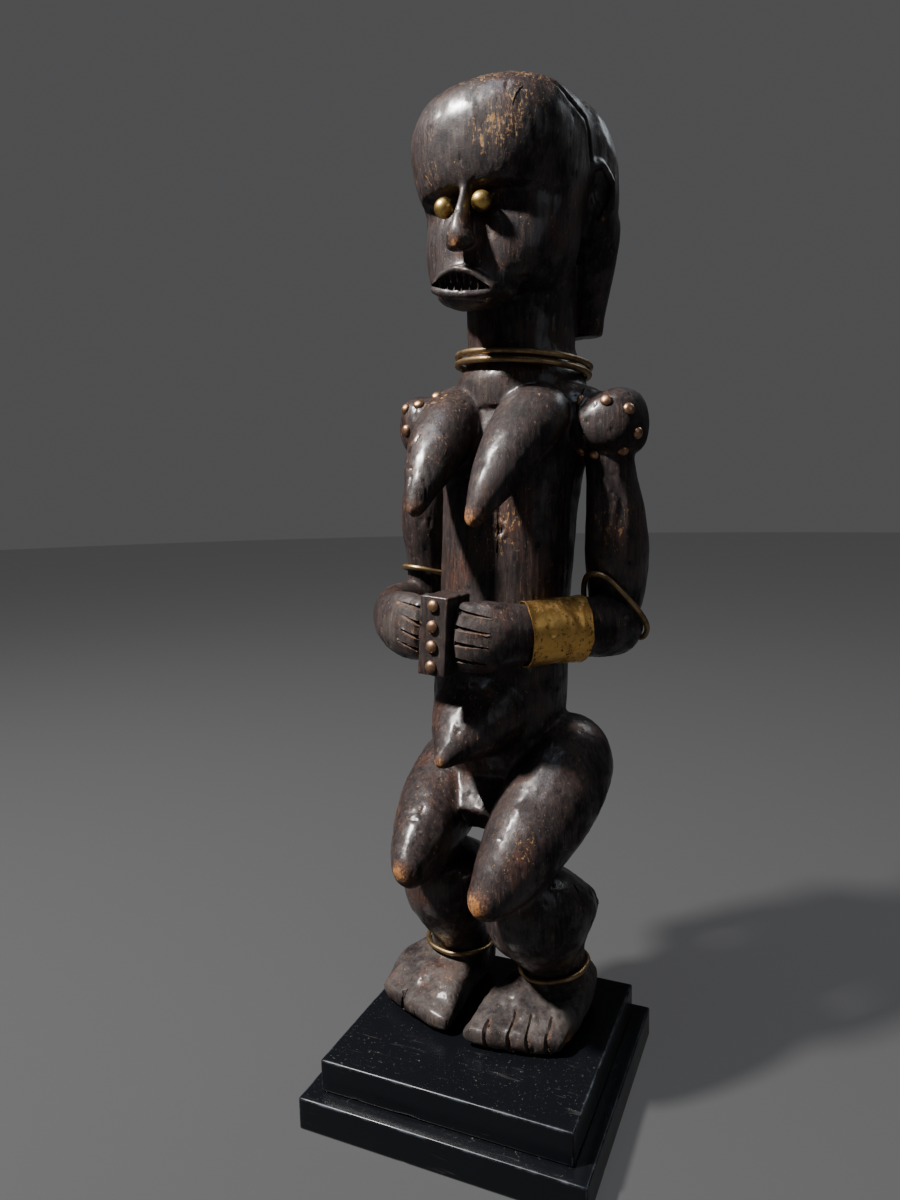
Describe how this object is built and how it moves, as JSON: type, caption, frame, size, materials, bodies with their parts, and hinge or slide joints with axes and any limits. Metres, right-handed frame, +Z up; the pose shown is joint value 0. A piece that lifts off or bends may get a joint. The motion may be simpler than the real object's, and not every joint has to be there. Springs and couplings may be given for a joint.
{
  "type": "byeri reliquary figure",
  "caption": "Carved wooden reliquary guardian figure standing with bent knees on a stepped plinth, with brass rings, cuff, studs and eyes",
  "frame": {"origin": "middle of the object's box at the plinth's underside", "axes": "+Z up, -Y the way the figure faces, +X the figure's left; the figure itself is turned 7 degrees on its plinth"},
  "size_m": [0.1836, 0.189, 0.6076],
  "materials": {
    "aged_wood": "dark oiled patina, worn at the high points",
    "black_lacquer": "black lacquer, dusty, edges worn",
    "old_brass": "dull, brown in the hollows",
    "sheet_brass": "golden, pitted, with dark specks"
  },
  "bodies": {
    "root": {"figure": "aged_wood", "plinth_upper_board": "black_lacquer", "plinth_lower_board": "black_lacquer", "eye_left": "old_brass", "eye_right": "old_brass", "neck_ring": "old_brass", "arm_ring_left": "old_brass", "arm_ring_right": "old_brass", "ankle_ring_left": "old_brass", "ankle_ring_right": "old_brass", "wrist_cuff": "sheet_brass", "tack_shoulder_left_1": "old_brass", "tack_shoulder_left_2": "old_brass", "tack_shoulder_left_3": "old_brass", "tack_shoulder_left_4": "old_brass", "tack_shoulder_left_5": "old_brass", "tack_shoulder_left_6": "old_brass", "tack_shoulder_left_7": "old_brass", "tack_shoulder_right_1": "old_brass", "tack_shoulder_right_2": "old_brass", "tack_shoulder_right_3": "old_brass", "tack_shoulder_right_4": "old_brass", "tack_shoulder_right_5": "old_brass", "tack_block_1": "old_brass", "tack_block_2": "old_brass", "tack_block_3": "old_brass", "tack_block_4": "old_brass"}
  },
  "joints": []
}
